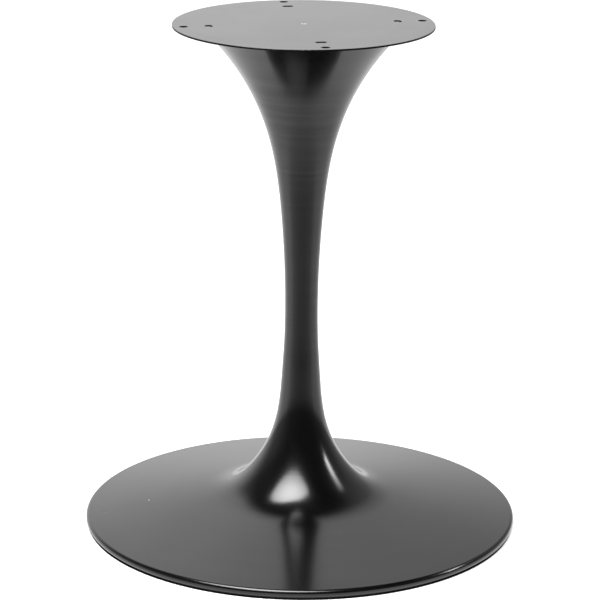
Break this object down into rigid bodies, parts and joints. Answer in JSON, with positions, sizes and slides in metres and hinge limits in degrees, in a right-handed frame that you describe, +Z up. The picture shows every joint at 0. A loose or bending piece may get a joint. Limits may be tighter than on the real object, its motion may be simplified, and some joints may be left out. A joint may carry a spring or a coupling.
{
  "type": "pedestal table base",
  "caption": "Round pedestal table base: a spun steel trumpet column on a wide shallow foot, with a drilled steel disc on top that carries a table top.",
  "frame": {"origin": "middle of the round foot, on the floor", "axes": "+Z up along the column; the top plate's holes are turned 10 degrees about Z from +X and +Y"},
  "size_m": [0.614, 0.6138, 0.72],
  "materials": {
    "black_lacquer": "semi-gloss black lacquer over fine spinning lines",
    "black_primer": "matt black primer",
    "bare_steel": "turned, oiled",
    "zinc_plate": "bright zinc",
    "black_rubber": "matt moulded rubber"
  },
  "bodies": {
    "root": {"top_plate": "black_lacquer", "trumpet": "black_lacquer", "foot_shell": "black_lacquer", "base_plate": "black_primer", "mouth_disc": "bare_steel", "seam_sleeve": "bare_steel", "base_hub": "bare_steel", "tie_bolt": "zinc_plate", "floor_ring": "black_rubber"}
  },
  "joints": []
}
